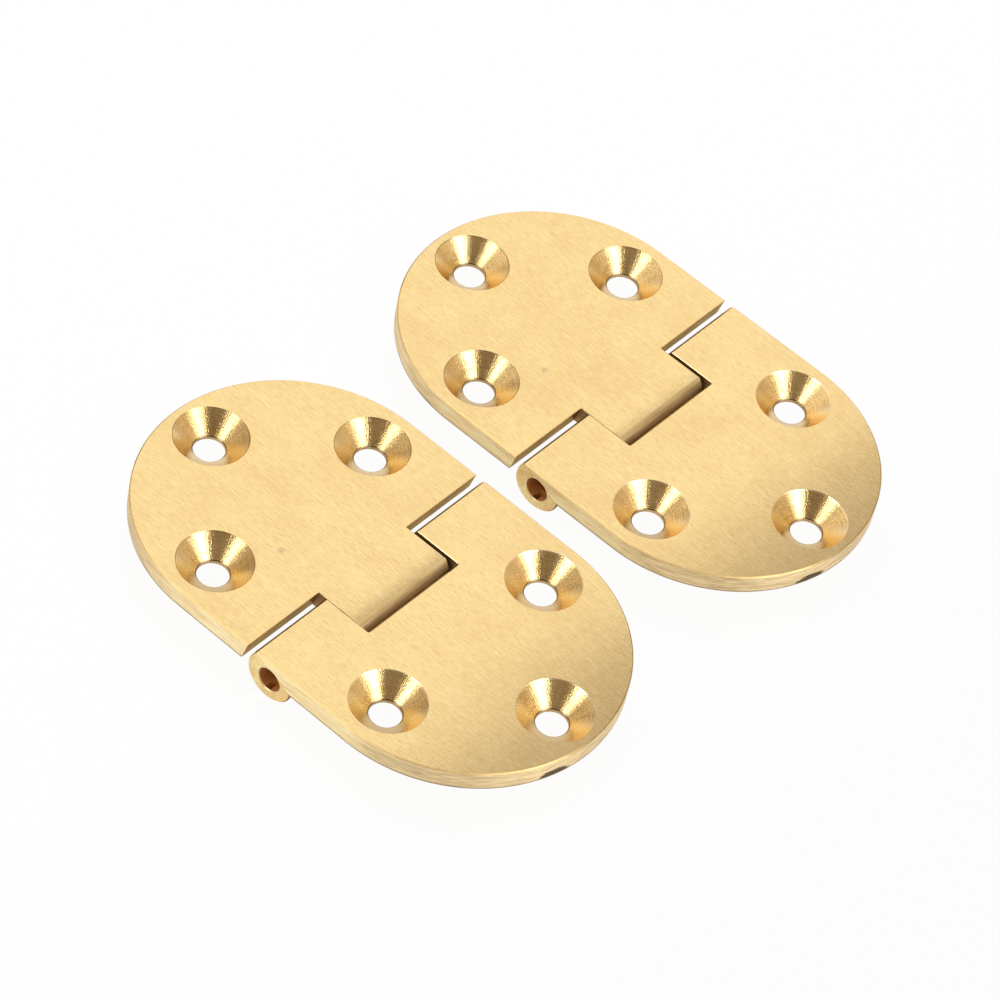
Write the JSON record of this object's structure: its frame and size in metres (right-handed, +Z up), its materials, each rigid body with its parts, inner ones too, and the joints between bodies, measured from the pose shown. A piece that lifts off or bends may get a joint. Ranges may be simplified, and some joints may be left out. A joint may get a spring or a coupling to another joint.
{
  "type": "pair of butler tray hinges",
  "caption": "Round-ended solid brass leaf hinges for drop flaps: countersunk leaves that lie flush and a barrel below.",
  "frame": {"origin": "middle of the floor area that the pair covers, at the bottom of the barrels", "axes": "+X from the tongue leaves to the fork leaves, +Y along the pins from the near hinge to the far one, +Z up, out of the countersunk faces"},
  "size_m": [0.0646, 0.0816, 0.0055],
  "materials": {
    "brushed_brass": "brushed, unlacquered, with turned countersinks",
    "pin_brass": "drawn rod, dull"
  },
  "bodies": {
    "fork_leaves": {"near_fork_leaf": "brushed_brass", "near_hinge_pin": "pin_brass", "far_fork_leaf": "brushed_brass", "far_hinge_pin": "pin_brass"},
    "near_tongue": {"near_tongue_leaf": "brushed_brass"},
    "far_tongue": {"far_tongue_leaf": "brushed_brass"}
  },
  "joints": [
    {"name": "near_fold", "type": "hinge", "parent": "fork_leaves", "child": "near_tongue", "pos_m": [0.0006, -0.02175, 0.0028], "axis": [0, 1, 0], "range_deg": [-178, 106]},
    {"name": "far_fold", "type": "hinge", "parent": "fork_leaves", "child": "far_tongue", "pos_m": [0.0018, 0.02175, 0.0028], "axis": [0, 1, 0], "range_deg": [-178, 106]}
  ]
}
